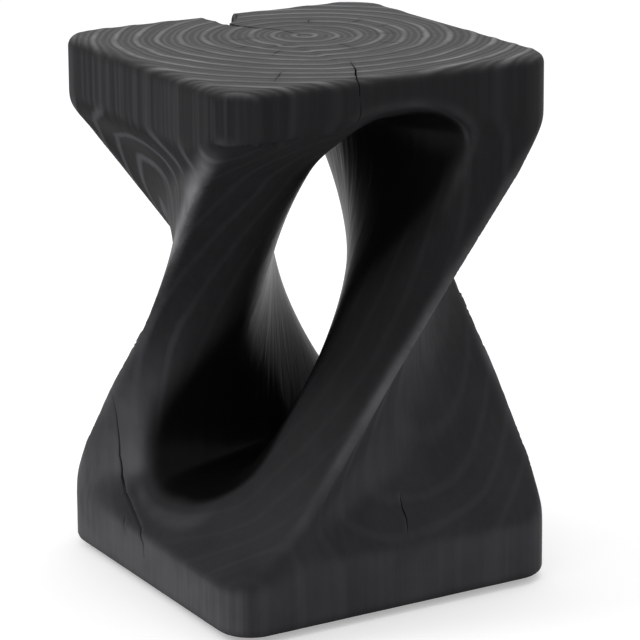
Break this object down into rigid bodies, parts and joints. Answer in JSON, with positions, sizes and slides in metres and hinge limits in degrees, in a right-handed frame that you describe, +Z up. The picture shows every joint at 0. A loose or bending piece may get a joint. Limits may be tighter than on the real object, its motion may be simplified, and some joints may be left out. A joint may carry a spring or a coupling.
{
  "type": "wood stool",
  "caption": "Carved hourglass stool in black-stained wood: square seat with growth rings and a drying split, twisted legs round one open tunnel, square base.",
  "frame": {"origin": "centre of the base's footprint, on the floor, where the four glides stand", "axes": "+Z straight up from the floor, +Y towards the side of the seat where the drying split is open, +X to the right seen from the side opposite the split"},
  "size_m": [0.309, 0.309, 0.45],
  "materials": {
    "black_wood": "satin stain",
    "glide_nylon": "matt",
    "nail_steel": "bright",
    "glide_felt": "felt"
  },
  "bodies": {
    "root": {"carved_body": "black_wood", "glide_base_1": "glide_nylon", "glide_nail_1": "nail_steel", "glide_felt_1": "glide_felt", "glide_base_2": "glide_nylon", "glide_nail_2": "nail_steel", "glide_felt_2": "glide_felt", "glide_base_3": "glide_nylon", "glide_nail_3": "nail_steel", "glide_felt_3": "glide_felt", "glide_base_4": "glide_nylon", "glide_nail_4": "nail_steel", "glide_felt_4": "glide_felt"}
  },
  "joints": []
}
